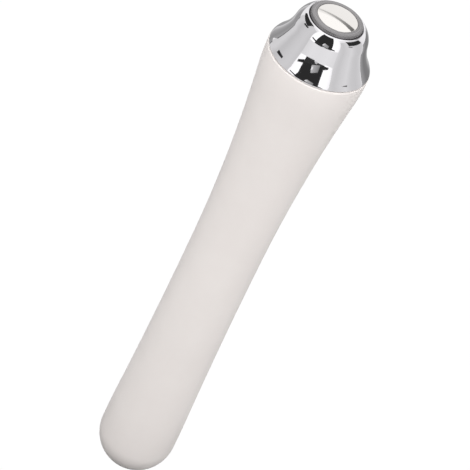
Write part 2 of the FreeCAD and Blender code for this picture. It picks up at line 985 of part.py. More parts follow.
# ---------------------------------------------------------------------------------------------- cap
# The bell's outside: an arc that rolls in from the edge, a hollow arc, a shoulder arc and a small rim
# arc down to the ring, each tangent to the next. The roll starts at a slope, so the edge stays open
# like a trumpet's.
cap_edge = size.mouth_height + size.seam_gap
cap_radius = size.mouth_radius - size.cap_step
roll_end_turn = size.edge_roll_end
waist_end_turn = roll_end_turn - size.waist_turn
shoulder_end_turn = waist_end_turn + size.shoulder_turn
roll_centre = (
    cap_radius - size.edge_roll_radius * cosine(size.edge_roll_start),
    cap_edge - size.edge_roll_radius * sine(size.edge_roll_start),
)
roll_end = (
    roll_centre[0] + size.edge_roll_radius * cosine(roll_end_turn),
    roll_centre[1] + size.edge_roll_radius * sine(roll_end_turn),
)
waist_centre = (
    roll_end[0] + size.waist_sweep_radius * cosine(roll_end_turn),
    roll_end[1] + size.waist_sweep_radius * sine(roll_end_turn),
)
shoulder_centre = (
    waist_centre[0] - (size.waist_sweep_radius + size.shoulder_radius) * cosine(waist_end_turn),
    waist_centre[1] - (size.waist_sweep_radius + size.shoulder_radius) * sine(waist_end_turn),
)
rim_centre = (
    shoulder_centre[0] + (size.shoulder_radius - size.rim_round) * cosine(shoulder_end_turn),
    shoulder_centre[1] + (size.shoulder_radius - size.rim_round) * sine(shoulder_end_turn),
)
cap_top = rim_centre[1] + size.rim_round
trim_bore = rim_centre[0] - size.rim_round
trim_radius = trim_bore - size.trim_gap
trim_flange_radius = trim_radius + size.trim_overhang
trim_seat = cap_top - size.ring_seat_depth
trim_shoulder = cap_top + size.trim_rise


def edge_corner(inset):
    """The foot of the roll arc, level with the cap's edge."""
    reach = size.edge_roll_radius - inset
    rise = cap_edge - roll_centre[1]
    return (roll_centre[0] + root(reach * reach - rise * rise), cap_edge)


def roll_corner(inset):
    reach = size.edge_roll_radius - inset
    return (
        roll_centre[0] + reach * cosine(roll_end_turn),
        roll_centre[1] + reach * sine(roll_end_turn),
        reach, 1,
    )


def waist_corner(inset):
    reach = size.waist_sweep_radius + inset
    return (
        waist_centre[0] - reach * cosine(waist_end_turn),
        waist_centre[1] - reach * sine(waist_end_turn),
        reach, -1,
    )


def hollow_at(height, inset):
    """A corner on the hollow arc at a height."""
    reach = size.waist_sweep_radius + inset
    drop = waist_centre[1] - height
    return (waist_centre[0] - root(reach * reach - drop * drop), height, reach, -1)


def shoulder_at(height, inset):
    """A corner on the shoulder arc at a height."""
    reach = size.shoulder_radius - inset
    rise = height - shoulder_centre[1]
    return (shoulder_centre[0] + root(reach * reach - rise * rise), height, reach, 1)


def cap_shell():
    wall = size.shell_wall
    shoulder_end = (
        rim_centre[0] + size.rim_round * cosine(shoulder_end_turn),
        rim_centre[1] + size.rim_round * sine(shoulder_end_turn),
        size.shoulder_radius, 1,
    )
    outside = [
        edge_corner(0), roll_corner(0), waist_corner(0), shoulder_end,
        (trim_bore, rim_centre[1], size.rim_round, 1),
    ]
    inside = [
        edge_corner(wall), roll_corner(wall), waist_corner(wall), shoulder_at(trim_seat, wall),
        (trim_bore, trim_seat),
    ]
    turned("CapShell", "cap_shell", outside + reversed_path(inside))


button_bore = size.button_radius + size.running_gap
trim_lip_radius = button_bore + size.trim_bevel
trim_cone = (
    trim_radius - size.trim_round * (1 - sine(size.trim_slope)),
    trim_shoulder + size.trim_round * cosine(size.trim_slope),
)
trim_top = trim_cone[1] + (trim_cone[0] - trim_lip_radius) * sine(size.trim_slope) / cosine(size.trim_slope)


def trim_ring():
    """A spun bezel: a shallow cone with a round shoulder, and a flange that is caught under the shell."""
    flange_inner = size.button_flange_radius + size.touch_gap
    low = trim_seat - size.trim_flange_height
    section = [
        (flange_inner, low),
        (trim_flange_radius, low),
        (trim_flange_radius, trim_seat - size.seat_gap),
        (trim_radius, trim_seat - size.seat_gap),
        (trim_radius, trim_shoulder),
        (*trim_cone, size.trim_round, 1),
        (trim_lip_radius, trim_top),
        (button_bore, trim_top - size.trim_bevel_drop),
        (button_bore, trim_seat - size.trim_lip),
        (flange_inner, trim_seat - size.trim_lip),
    ]
    turned("TrimRing", "trim_ring", section)


# ------------------------------------------------------------------------------------------- button
flange_top = trim_seat - size.trim_lip - size.touch_gap
flange_low = flange_top - size.button_flange_height
button_top = trim_top + size.button_rise
pad_high = button_top - size.button_roof
pad_low = pad_high - size.pad_thickness
switch_top = pad_low - size.plunger_stand
board_top = switch_top - size.switch_height
board_seat = board_top - size.board_thickness


def button_cap():
    """A cup with a low dome on top, which runs into its wall through a small arc."""
    across = size.button_radius
    hollow = across - size.button_wall
    crown_foot = button_top - size.button_crown_radius
    reach = size.button_crown_radius - size.button_round
    inset = across - size.button_round
    rise = root(reach * reach - inset * inset)
    outward = size.button_crown_radius / reach
    section = [
        (AXIS, button_top, size.button_crown_radius, 1),
        (AXIS, pad_high),
        (hollow, pad_high),
        (hollow, flange_low),
        (size.button_flange_radius, flange_low),
        (size.button_flange_radius, flange_top),
        (across, flange_top),
        (across, crown_foot + rise),
        (inset * outward, crown_foot + rise * outward, size.button_round, 1),
    ]
    turned("ButtonCap", "button_cap", section)


def button_pad():
    hollow = size.button_radius - size.button_wall
    turned("ButtonPad", "button_pad", tube_section(AXIS, hollow - size.seat_gap, pad_low, pad_high))


def switch_plunger():
    low = switch_top - size.plunger_depth
    node(rod("SwitchPlunger", size.plunger_radius, low, pad_low), "switch_plunger")


# ------------------------------------------------------------------------------------------- insert
insert_bottom = thread_start + size.insert_end_gap
insert_top = board_seat + size.insert_rim
groove_start = seal_start + size.seal_groove_rise
recess_roof = insert_bottom + size.spring_recess_depth
floor_top = recess_roof + size.insert_floor
collar_low = seal_start + 2 * size.ring_thickness + size.touch_gap
collar_radius = seal_bore_radius - size.thread_gap
groove_radius = collar_radius - size.seal_groove_depth
skirt_radius = thread_radius - size.thread_gap
groove_width = 2 * (size.seal_section_radius + size.seal_side_gap)
switch_board_radius = cap_radius - size.switch_board_inset
insert_board_bore = switch_board_radius + size.seat_gap
lead_spot = size.insert_bore / 2


def contact_tab():
    """Corners of the strip that leads from the cap's contact ring into the insert's bore."""
    return (size.insert_bore - size.tab_reach, groove_radius + size.tab_thickness, collar_low + size.tab_rise)


def cap_insert():
    wall = size.shell_wall + size.touch_gap
    inside = [
        (insert_board_bore, insert_top),
        (insert_board_bore, board_seat),
        (size.insert_bore, board_seat),
        (size.insert_bore, floor_top),
        (AXIS, floor_top),
        (AXIS, recess_roof),
        (size.spring_recess_radius, recess_roof),
        (size.spring_recess_radius, insert_bottom),
    ]
    outside = [
        (skirt_radius, insert_bottom),
        (skirt_radius, collar_low),
        (collar_radius, collar_low),
        (collar_radius, groove_start),
        (groove_radius, groove_start),
        (groove_radius, groove_start + groove_width),
        (collar_radius, groove_start + groove_width),
        (collar_radius, cap_edge),
        edge_corner(wall),
        roll_corner(wall),
        hollow_at(insert_top, wall),
    ]
    body = turned_blank("InsertBlank", inside + outside)
    near, far, low = contact_tab()
    half = size.tab_width / 2 + size.seat_gap
    high = low + size.tab_thickness + size.seat_gap
    slot = block(
        "ContactSlot", (near - OVERCUT, -half, low - size.seat_gap), (far + size.seat_gap, half, high)
    )
    riser = block(
        "RiserSlot",
        (far - size.tab_thickness - size.seat_gap, -half, collar_low - OVERCUT),
        (far + size.seat_gap, half, high),
    )
    lead_hole = rod(
        "LeadHole", size.wire_radius + size.touch_gap, recess_roof - OVERCUT, floor_top + OVERCUT,
        at_x=-lead_spot,
    )
    holes = [slot, riser, lead_hole]
    holes += cap_screw_rods(
        "InsertHole", size.cap_screw_radius, cap_screw_tip - size.touch_gap, board_seat + OVERCUT
    )
    node(cut("CapInsert", body, joined("InsertHoles", holes)), "cap_insert")


def cap_contact():
    outer = collar_radius - size.touch_gap
    ring = turned_blank(
        "CapContactRing",
        tube_section(groove_radius, outer, collar_low - size.ring_thickness, collar_low),
    )
    near, far, low = contact_tab()
    half = size.tab_width / 2
    high = low + size.tab_thickness
    strip = block("ContactStrip", (near, -half, low), (far, half, high))
    riser_low = (far - size.tab_thickness, -half, collar_low - size.ring_thickness)
    riser = block("ContactRiser", riser_low, (far, half, high))
    node(joined("CapContact", [ring, strip, riser]), "cap_contact")


def spring_plate():
    radius = size.spring_recess_radius - size.touch_gap
    low = recess_roof - size.plate_height
    turned("SpringPlate", "spring_plate", tube_section(AXIS, radius, low, recess_roof))


def seal_ring():
    body = new_body("SealRing")
    across = groove_radius + size.seat_gap + size.seal_section_radius
    along = groove_start + groove_width / 2
    section = circles(body, "SealSection", [(across, along, size.seal_section_radius)], "XZ_Plane")
    revolve(body, section)
    node(body, "seal_ring")


# ------------------------------------------------------------------------------------------- switch
cap_screw_tip = board_seat - size.cap_screw_grip


def cap_screw_rods(name, radius, low, high):
    """Rods on the cap screws' circle, evenly spaced."""
    rods = []
    for count in range(CAP_SCREW_COUNT):
        angle = FIRST_CAP_SCREW + count * 360 / CAP_SCREW_COUNT
        across = math.cos(math.radians(angle))
        along = math.sin(math.radians(angle))
        rods.append(rod(
            f"{name}{count}", radius, low, high,
            at_x=size.cap_screw_circle * across, at_y=size.cap_screw_circle * along,
        ))
    return rods


def switch_board():
    disc = turned_blank(
        "SwitchBoardBlank", tube_section(AXIS, switch_board_radius, board_seat, board_top)
    )
    holes = cap_screw_rods(
        "SwitchBoardHole", size.cap_screw_radius + size.seat_gap, board_seat - OVERCUT, board_top + OVERCUT
    )
    node(cut("SwitchBoard", disc, joined("SwitchBoardHoles", holes)), "switch_board")


def switch_body():
    half = size.switch_side / 2
    case = block("SwitchCase", (-half, -half, board_top), (half, half, switch_top))
    depth = size.plunger_depth + size.button_travel + size.touch_gap
    well = rod("SwitchWell", size.plunger_radius + size.running_gap, switch_top - depth, switch_top + OVERCUT)
    node(cut("SwitchBody", case, well), "switch_body")


def cap_screws():
    head_top = board_top + size.cap_screw_head_height
    heads = cap_screw_rods("CapScrewHead", size.cap_screw_head_radius, board_top, head_top)
    shanks = cap_screw_rods("CapScrewShank", size.cap_screw_radius - size.seat_gap, cap_screw_tip, board_top)
    screws = [joined(f"CapScrew{count}", list(pair)) for count, pair in enumerate(zip(heads, shanks))]
    node(group("CapScrews", screws), "cap_screws")


# -------------------------------------------------------------------------------- springs and wires
def coil(name, label, start_radius, end_radius, start_height, end_height, wire, turns):
    """A coil wound in short straight steps, with a many-sided wire."""
    steps = turns * SPRING_STEPS
    spots = []
    for step in range(steps + 1):
        share = step / steps
        angle = 2 * math.pi * step / SPRING_STEPS
        radius = start_radius + (end_radius - start_radius) * share
        height = start_height + (end_height - start_height) * share
        spots.append(Vector(radius * math.cos(angle), radius * math.sin(angle), height))
    along = (spots[1] - spots[0]).normalize()
    out = Vector(spots[0].x, spots[0].y, 0).normalize()
    up = along.cross(out)
    rim = []
    for side in range(WIRE_SIDES):
        angle = 2 * math.pi * side / WIRE_SIDES
        rim.append(spots[0] + out * (wire * math.cos(angle)) + up * (wire * math.sin(angle)))
    item = doc.addObject("Part::Feature", name)
    item.Shape = Part.makePolygon(spots).makePipeShell([Part.makePolygon(rim + rim[:1])], True, False, 1)
    return node(item, label)


def cell_spring():
    wire = value(size.cell_spring_wire)
    coil(
        "CellSpring", "cell_spring",
        value(size.cell_spring_large), value(size.cell_spring_small),
        value(recess_roof - size.plate_height - size.seat_gap) - wire,
        value(cell_high + size.touch_gap) + wire,
        wire, CELL_SPRING_TURNS,
    )


def button_spring():
    wire = value(size.button_spring_wire)
    radius = value(size.button_spring_radius)
    coil(
        "ButtonSpring", "button_spring", radius, radius,
        value(board_top + size.seat_gap) + wire,
        value(flange_low - size.seat_gap) - wire,
        wire, BUTTON_SPRING_TURNS,
    )


def wire_solid(route):
    """One insulated wire: straight runs joined by tangent arcs."""
    bend = value(size.wire_bend)
    radius = value(size.wire_radius)
    edges = []
    last = route[0]
    for before, corner, after in zip(route, route[1:], route[2:]):
        into = (corner - before).normalize()
        out = (after - corner).normalize()
        turn = into.getAngle(out)
        reach = bend * math.tan(turn / 2)
        arc_start = corner - into * reach
        arc_end = corner + out * reach
        centre_way = (out - into).normalize()
        centre = corner + centre_way * (bend / math.cos(turn / 2))
        edges.append(Part.LineSegment(last, arc_start).toShape())
        edges.append(Part.Arc(arc_start, centre - centre_way * bend, arc_end).toShape())
        last = arc_end
    edges.append(Part.LineSegment(last, route[-1]).toShape())
    path = Part.Wire(edges)
    section = Part.Wire([Part.makeCircle(radius, route[0], (route[1] - route[0]).normalize())])
    solid = path.makePipeShell([section], True, False)
    length = path.Length
    if abs(solid.Volume - math.pi * radius ** 2 * length) > 0.01 * solid.Volume:
        raise ValueError("a wire's volume does not match its length")
    return solid


def wires(name, label, routes):
    item = doc.addObject("Part::Feature", name)
    item.Shape = Part.makeCompound([wire_solid(route) for route in routes])
    return node(item, label)


def spoke(angle, stations):
    """A route in the plane through the axis at an angle, from (radius, height) stations."""
    across = math.cos(math.radians(angle))
    along = math.sin(math.radians(angle))
    return [Vector(value(reach) * across, value(reach) * along, value(height)) for reach, height in stations]


def tip_route(start):
    """Stations from a place in the heated tip, past the motor, to a pad near the control board's edge."""
    straight = size.lead_straight
    return [
        (start, size.sensor_end),
        (start, size.sensor_end + straight),
        (size.wire_track, spigot_start + straight),
        (size.wire_track, motor_back + straight),
        (size.wire_pad, board_front - straight),
        (size.wire_pad, board_front),
    ]


def tip_leads():
    film_face = nose_at(size.sensor_end, film_inset)[0] - size.wire_radius - size.touch_gap
    wires("HeaterLeads", "heater_leads", [spoke(angle, tip_route(film_face)) for angle in (0, 180)])
    routes = []
    for angle, width, length in (
        (90, size.thermistor_width, size.thermistor_length),
        (270, size.cutoff_width, size.cutoff_length),
    ):
        middle = sensor_face(width, length) - size.sensor_thickness / 2
        routes.append(spoke(angle, tip_route(middle)))
    wires("SensorLeads", "sensor_leads", routes)


def motor_leads():
    low = motor_back + size.end_cap_length + size.terminal_length
    near = size.terminal_offset
    straight = size.lead_straight
    stations = [
        (near, low),
        (near, low + straight),
        (near + size.lead_bow, (low + board_front) / 2),
        (near, board_front - straight),
        (near, board_front),
    ]
    wires("MotorLeads", "motor_leads", [spoke(angle, stations) for angle in (90, 270)])


def bowed_lead(across, low, high):
    """A route up the insert's bore that bows towards the axis on its way."""
    straight = value(size.cap_lead_straight)
    bow = value(size.cap_lead_bow)
    inward = math.copysign(bow, -across)
    return [
        Vector(across, 0, low),
        Vector(across, 0, low + straight),
        Vector(across + inward, bow, (low + high) / 2),
        Vector(across, 0, high - straight),
        Vector(across, 0, high),
    ]


def cap_leads():
    """From the switch board down to the spring's plate and to the contact ring's strip."""
    top = value(board_seat)
    near, _, low = contact_tab()
    plate = bowed_lead(-value(lead_spot), value(recess_roof), top)
    ring = bowed_lead(value(near + size.wire_radius), value(low + size.tab_thickness), top)
    wires("CapLeads", "cap_leads", [plate, ring])


# ---------------------------------------------------------------------------------------- build all
silicone_sleeve()
heat_dome()
heater_film()
tip_sensor("Thermistor", "thermistor", size.thermistor_width, size.thermistor_length, 1)
tip_sensor("ThermalCutoff", "thermal_cutoff", size.cutoff_width, size.cutoff_length, -1)
core_tube()
return_strip()
mouth_contact()
motor_can()
motor_end_cap()
motor_terminals()
motor_bush()
motor_shaft()
eccentric_weight()
motor_mount()
mount_retainer()
dampers()
motor_screws()
bulkhead()
control_board()
board_screws()
driver_chip()
board_parts()
front_contact()
cell()
cap_shell()
trim_ring()
button_cap()
button_pad()
switch_plunger()
cap_insert()
cap_contact()
spring_plate()
seal_ring()
switch_board()
switch_body()
cap_screws()
cell_spring()
button_spring()
tip_leads()
motor_leads()
cap_leads()
doc.recompute()

failed = [item.Label for item in doc.Objects if "Invalid" in item.State or "Error" in item.State]
failed += [item.Label for item in nodes if item.Shape.isNull() or not item.Shape.isValid()]
if failed:
    raise RuntimeError("failed objects: " + ", ".join(failed))

os.makedirs("parts", exist_ok=True)
for item in nodes:
    item.Shape.exportStep(f"parts/{item.Label}.step")
print(len(nodes), "nodes written")
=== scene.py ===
# %% [markdown]
# # A heated eye massager wand, dressed
#
# The wand is a body of revolution: a soft matte skin runs from a round warm tip to a flared mouth, and a
# polished bell closes it. A spun metal ring sits in the bell, and a mirror-bright push button in the ring.
# The parts that make it work come from the engineering model. This lesson gives every one of them a finish,
# and makes the four outer pieces and the two springs again as fine smooth surfaces.

# %% Load the engineering model
import math
import json
import bpy
import numpy as np
from mathutils import Matrix, Vector


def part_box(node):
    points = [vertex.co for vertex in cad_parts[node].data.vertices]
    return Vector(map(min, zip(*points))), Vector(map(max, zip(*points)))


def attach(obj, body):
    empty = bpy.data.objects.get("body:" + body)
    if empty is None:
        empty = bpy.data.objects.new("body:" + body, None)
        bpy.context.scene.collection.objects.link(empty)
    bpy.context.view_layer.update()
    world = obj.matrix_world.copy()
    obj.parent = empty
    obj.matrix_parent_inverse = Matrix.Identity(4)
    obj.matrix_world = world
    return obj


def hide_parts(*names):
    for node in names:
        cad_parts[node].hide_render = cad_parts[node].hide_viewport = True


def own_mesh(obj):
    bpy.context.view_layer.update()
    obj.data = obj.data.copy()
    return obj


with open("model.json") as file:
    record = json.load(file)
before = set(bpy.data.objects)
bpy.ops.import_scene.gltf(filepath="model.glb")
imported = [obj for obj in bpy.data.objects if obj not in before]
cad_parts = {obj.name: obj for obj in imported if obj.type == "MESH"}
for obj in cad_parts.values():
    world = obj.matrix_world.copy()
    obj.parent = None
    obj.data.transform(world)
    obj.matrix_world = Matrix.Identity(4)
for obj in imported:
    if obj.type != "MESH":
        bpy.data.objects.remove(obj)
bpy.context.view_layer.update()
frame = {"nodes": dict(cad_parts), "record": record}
parts = frame["nodes"]
MM = 0.001

# %% [markdown]
# ## The camera
# A long lens from a little more than half a metre keeps the wand's sides nearly parallel. It looks down at
# 38.9 degrees and is rolled by 25.8 degrees, so the wand leans across the square frame. A camera can be aimed
# with a Track To constraint, but a roll is easier to state as three unit vectors: across, upward and backward.

# %% Camera
TILT, LEAN = math.radians(38.854), math.radians(25.84)
EYE = Vector((0.4268, -435.956, 432.052)) * MM
LENS, SENSOR, NEAR, FAR = 183.83, 36.0, 0.01, 20.0
across = Vector((math.cos(LEAN), math.sin(TILT) * math.sin(LEAN), math.cos(TILT) * math.sin(LEAN)))
upward = Vector((-math.sin(LEAN), math.sin(TILT) * math.cos(LEAN), math.cos(TILT) * math.cos(LEAN)))
backward = across.cross(upward)
camera = bpy.data.objects.new("camera", bpy.data.cameras.new("camera"))
bpy.context.scene.collection.objects.link(camera)
facing = Matrix((across, upward, backward)).transposed().to_4x4()
camera.matrix_world = Matrix.Translation(EYE) @ facing
camera.data.sensor_width, camera.data.lens = SENSOR, LENS
camera.data.clip_start, camera.data.clip_end = NEAR, FAR
bpy.context.scene.camera = camera
bpy.context.scene.view_settings.view_transform = "Standard"
print("camera looks along", [round(c, 3) for c in -backward])

# %% [markdown]
# ## Outlines from arcs
# Turned and moulded parts are drawn with arcs that run into each other without a corner. A Bezier curve could
# follow the same shape, but its curvature isn't known, and a mirror finish shows every change of it. So an
# outline here is an array of (radius, height) pairs in millimetres, and each stretch of it is one arc.

# %% Arc helper
SAME_POINT = 1e-5


def arc(centre, radius, start, stop, steps):
    """Points on a circle: centre plus radius times (cosine, sine) of angles from start to stop, in degrees,
    spread evenly over the steps."""
    angle = np.radians(np.linspace(start, stop, steps + 1))
    return np.array(centre) + radius * np.stack([np.cos(angle), np.sin(angle)], axis=1)


def joined(*stretches):
    """Stretches end to end, without the points that two of them share."""
    points = np.concatenate([np.atleast_2d(s) for s in stretches])
    keep = np.concatenate([[True], np.linalg.norm(np.diff(points, axis=0), axis=1) > SAME_POINT])
    return points[keep]


print("a quarter of a unit circle ends at", arc((0, 0), 1, 0, 90, 4)[-1].round(3))

# %% [markdown]
# ## Surfaces from outlines
# A body of revolution is an outline carried round an axis. Blender's Screw modifier or Spin tool can do that.
# Here the whole grid of points is one numpy array, because then the poles close in one point each, all faces
# point outwards by their order alone, and the mesh needs no modifier when it is handed on.

# %% Turned surfaces
ON_AXIS = 1e-9


def grid_quads(rows, columns, closed_rows, closed_columns):
    """Quads over a grid of numbered points: each joins a point to its neighbours in the next row and column.
    A closed direction also joins its last line to its first."""
    index = np.arange(rows * columns).reshape(rows, columns)
    if closed_rows:
        index = np.concatenate([index, index[:1]])
    if closed_columns:
        index = np.concatenate([index, index[:, :1]], axis=1)
    return np.stack([index[:-1, :-1], index[:-1, 1:], index[1:, 1:], index[1:, :-1]], axis=-1).reshape(-1, 4)


def grid_mesh(name, points, closed_rows, closed_columns):
    """A mesh over a grid of points [row, column, xyz]."""
    return made_mesh(name, points.reshape(-1, 3), grid_quads(*points.shape[:2], closed_rows, closed_columns))


def made_mesh(name, corners, faces):
    """A smooth mesh from corners in metres, and faces as lists of corner numbers."""
    mesh = bpy.data.meshes.new(name)
    mesh.from_pydata(corners, [], faces)
    mesh.polygons.foreach_set("use_smooth", np.ones(len(mesh.polygons), bool))
    piece = bpy.data.objects.new(name, mesh)
    bpy.context.scene.collection.objects.link(piece)
    return piece


def turned(name, outline, around=192):
    """Surface of revolution: an outline point (r, z) at angle a becomes (r cos a, r sin a, z). Where an outline
    starts and ends on the axis, each end shrinks to one pole with a fan of triangles."""
    outline = np.asarray(outline, float) * MM
    angle = np.linspace(0, 2 * math.pi, around, endpoint=False)
    on_axis = outline[0, 0] < ON_AXIS
    rings = outline[1:-1] if on_axis else outline
    across, along = rings[:, :1], np.repeat(rings[:, 1:], around, axis=1)
    points = np.stack([across * np.cos(angle), across * np.sin(angle), along], axis=-1)
    quads = grid_quads(*points.shape[:2], closed_rows=not on_axis, closed_columns=True)
    corners, faces = points.reshape(-1, 3), quads.tolist()
    if on_axis:
        here, after = np.arange(around), np.roll(np.arange(around), -1)
        count, last = len(corners), (len(rings) - 1) * around
        faces += np.stack([np.full(around, count), after, here], axis=1).tolist()
        faces += np.stack([np.full(around, count + 1), last + here, last + after], axis=1).tolist()
        corners = np.concatenate([corners, [[0, 0, outline[0, 1]], [0, 0, outline[-1, 1]]]])
    piece = made_mesh(name, corners, faces)
    print(name, len(piece.data.polygons), "faces")
    return piece


# %% [markdown]
# ## The skin
# The skin is a sleeve of silicone: a blunt round tip, a barrel that is slimmest near its middle, and a flare to
# the mouth. A capsule pushed into shape with a lattice would come close, but the light that glides along the
# barrel would waver. Six arcs that meet without a corner keep it even, and moving them inwards gives the wall.

# %% Skin outline
TIP_R, TIP_Z, POLE_R = 9.73, 10.28, 8.2
NECK_R, NECK_Z = 8.7, 77.3
MOUTH_R, MOUTH_Z, LIP_ROUND, SKIN_WALL, INNER_ROUND = 11.95, 136.25, 0.35, 1.2, 0.12
BARREL_SHARE, FLARE_SHARE = 0.176, 0.116
lip_z = MOUTH_Z - LIP_ROUND


def skin_outline(inset, top):
    """The skin's outline, moved inwards by inset: arcs keep their centres, and their radii shrink or grow.

    The tip's side is upright at height TIP_Z and touches the round of radius p at the pole, so its own radius is
    (R^2 + rise^2 - p^2) / (2 (R - p)). Two arcs that meet without a corner, and are upright at their far ends,
    have radii whose sum is (length^2 + step^2) / (2 step). BARREL_SHARE and FLARE_SHARE are one arc's part of
    that sum."""
    rise = TIP_Z - POLE_R
    side = (TIP_R ** 2 + rise ** 2 - POLE_R ** 2) / (2 * (TIP_R - POLE_R))
    join = -math.degrees(math.atan2(rise, side - TIP_R))
    length, drop = NECK_Z - TIP_Z, TIP_R - NECK_R
    barrel = (length ** 2 + drop ** 2) / (2 * drop)
    lower, upper = BARREL_SHARE * barrel, (1 - BARREL_SHARE) * barrel
    lean = math.degrees(math.asin(length / barrel))
    height, spread = top - NECK_Z, MOUTH_R - NECK_R
    flare = (height ** 2 + spread ** 2) / (2 * spread)
    start, end = (1 - FLARE_SHARE) * flare, FLARE_SHARE * flare
    open_lean = math.degrees(math.asin(height / flare))
    return joined(arc((0, POLE_R), POLE_R - inset, -90, join, 24),
                  arc((TIP_R - side, TIP_Z), side - inset, join, 0, 40),
                  arc((TIP_R - lower, TIP_Z), lower - inset, 0, lean, 24),
                  arc((NECK_R + upper, NECK_Z), upper + inset, 180 + lean, 180, 40),
                  arc((NECK_R + start, NECK_Z), start + inset, 180, 180 - open_lean, 48),
                  arc((MOUTH_R - end, top), end - inset, -open_lean, 0, 24))


print("skin outline", skin_outline(0, lip_z)[[0, -1]].round(3).tolist())

# %% [markdown]
# The sleeve is 1.2 mm thick, moulded in one piece and pulled over the core. A Solidify modifier could give an
# open surface that wall. One closed outline is surer at the mouth: it goes up the outside, over a small round
# lip and back down the inside to the inner pole.

# %% Make the skin
outer_r, inner_r = MOUTH_R - LIP_ROUND, MOUTH_R - SKIN_WALL + INNER_ROUND
skin = turned("skin", joined(
    skin_outline(0, lip_z), arc((outer_r, lip_z), LIP_ROUND, 0, 90, 8),
    np.linspace((outer_r, MOUTH_Z), (inner_r, MOUTH_Z), 4),
    arc((inner_r, MOUTH_Z - INNER_ROUND), INNER_ROUND, 90, 180, 5), skin_outline(SKIN_WALL, lip_z)[::-1]))
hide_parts("silicone_sleeve")
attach(skin, "wand")

# %% [markdown]
# ## The bell
# The cap is die-cast, polished and plated. Its edge rolls inwards over the skin's lip, the waist is hollow, and
# the shoulder closes on the ring over a narrow round rim. A subdivision surface would blur these changes of
# curve, and they decide where each reflection starts and ends, so the bell is arcs too. The wall is 1 mm thick:
# its inner arcs share the outer ones' centres.

# %% Bell outline
CAP_R, CAP_Z, CAP_WALL, CAP_ROUND = 11.86, 136.50, 1.0, 0.1
ROLL_R, ROLL_START, ROLL_END = 4.12, 20.0, 37.96
WAIST_R, WAIST_TURN = 13.24, 28.38
SHOULDER_R, SHOULDER_TURN, RIM_ROUND = 5.024, 42.42, 0.34


def towards(degrees):
    """Unit step (across, along) at an angle from level."""
    return np.array([math.cos(math.radians(degrees)), math.sin(math.radians(degrees))])


waist_end = ROLL_END - WAIST_TURN
shoulder_end = waist_end + SHOULDER_TURN
roll_at = np.array([CAP_R, CAP_Z]) - ROLL_R * towards(ROLL_START)
waist_at = roll_at + (ROLL_R + WAIST_R) * towards(ROLL_END)
shoulder_at = waist_at - (WAIST_R + SHOULDER_R) * towards(waist_end)
rim_at = shoulder_at + (SHOULDER_R - RIM_ROUND) * towards(shoulder_end)
CAP_TOP, BORE = rim_at[1] + RIM_ROUND, rim_at[0] - RIM_ROUND
print("bell top at height", round(CAP_TOP, 3), "bore radius", round(BORE, 3))


def bell_outline(inset, last):
    """Edge roll from the edge's height, hollow waist, and shoulder up to the angle last, all moved inwards."""
    first = math.degrees(math.asin((CAP_Z - roll_at[1]) / (ROLL_R - inset)))
    return joined(arc(roll_at, ROLL_R - inset, first, ROLL_END, 28),
                  arc(waist_at, WAIST_R + inset, 180 + ROLL_END, 180 + waist_end, 40),
                  arc(shoulder_at, SHOULDER_R - inset, waist_end, last, 40))


# %% [markdown]
# The bell's surface runs from its foot up the outside, over the rim, down the bore to the ring's seat and back
# inside. A small round closes the foot, and the outline is taken up again just above it.

# %% Make the bell
SEAT_DEPTH, FIT, FOOT_TURN, FOOT_GAP = 1.85, 0.05, 2.05, 0.08
seat_z = CAP_TOP - SEAT_DEPTH
seat_angle = math.degrees(math.asin((seat_z - shoulder_at[1]) / (SHOULDER_R - CAP_WALL)))
outside = bell_outline(0, shoulder_end)
foot_angle = ROLL_START + FOOT_TURN
foot = roll_at + (ROLL_R - CAP_ROUND) * towards(foot_angle)
bell = turned("bell", joined(
    arc(foot, CAP_ROUND, -90, foot_angle, 6), outside[outside[:, 1] > foot[1] + FOOT_GAP],
    arc(rim_at, RIM_ROUND, shoulder_end, 180, 16), (BORE, seat_z), bell_outline(CAP_WALL, seat_angle)[::-1]))
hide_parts("cap_shell")
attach(bell, "cap")

# %% [markdown]
# ## The ring and the button
# The ring is turned from aluminium. It is a flat cone that falls away from the button to a round shoulder, and
# its inner edge has a small bevel that catches the light. Below, a step rests on the bell's seat, and a wider
# well leaves room for the button's flange.

# %% Make the ring
RING_GAP, RING_ROUND, RING_SLOPE, RING_PROUD = 0.09, 0.35, 7.0, 0.26
STEP, STEP_DEPTH, BEVEL, BEVEL_DROP = 0.4, 1.2, 0.08, 0.05
BUTTON_R, FLANGE_R, WELL_GAP, WELL_TOP = 4.7, 5.2, 0.1, 0.2
hole, ring_r, ring_low = BUTTON_R + FIT, BORE - RING_GAP, seat_z - STEP_DEPTH
step_r, step_z, well_r, well_z = ring_r + STEP, seat_z - FIT, FLANGE_R + WELL_GAP, seat_z - WELL_TOP
round_at = np.array([ring_r - RING_ROUND, CAP_TOP + RING_PROUD])
cone_foot = round_at + RING_ROUND * towards(90 - RING_SLOPE)
ring_top = cone_foot[1] + (cone_foot[0] - hole - BEVEL) * math.tan(math.radians(RING_SLOPE))
ring = turned("spun_ring", joined(
    (well_r, ring_low), (step_r, ring_low), (step_r, step_z), (ring_r, step_z),
    arc(round_at, RING_ROUND, 0, 90 - RING_SLOPE, 14), np.linspace(cone_foot, (hole + BEVEL, ring_top), 12)[1:],
    (hole, ring_top - BEVEL_DROP), (hole, well_z), (well_r, well_z)))
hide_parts("trim_ring")
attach(ring, "cap")

# %% [markdown]
# The button is a plated cup with a low dome, which runs into its wall over a very small round. A flange under
# the ring keeps it from coming out. A scaled sphere could give the dome, but then the round at its edge would
# be hard to join. Here dome, round and wall are one outline.

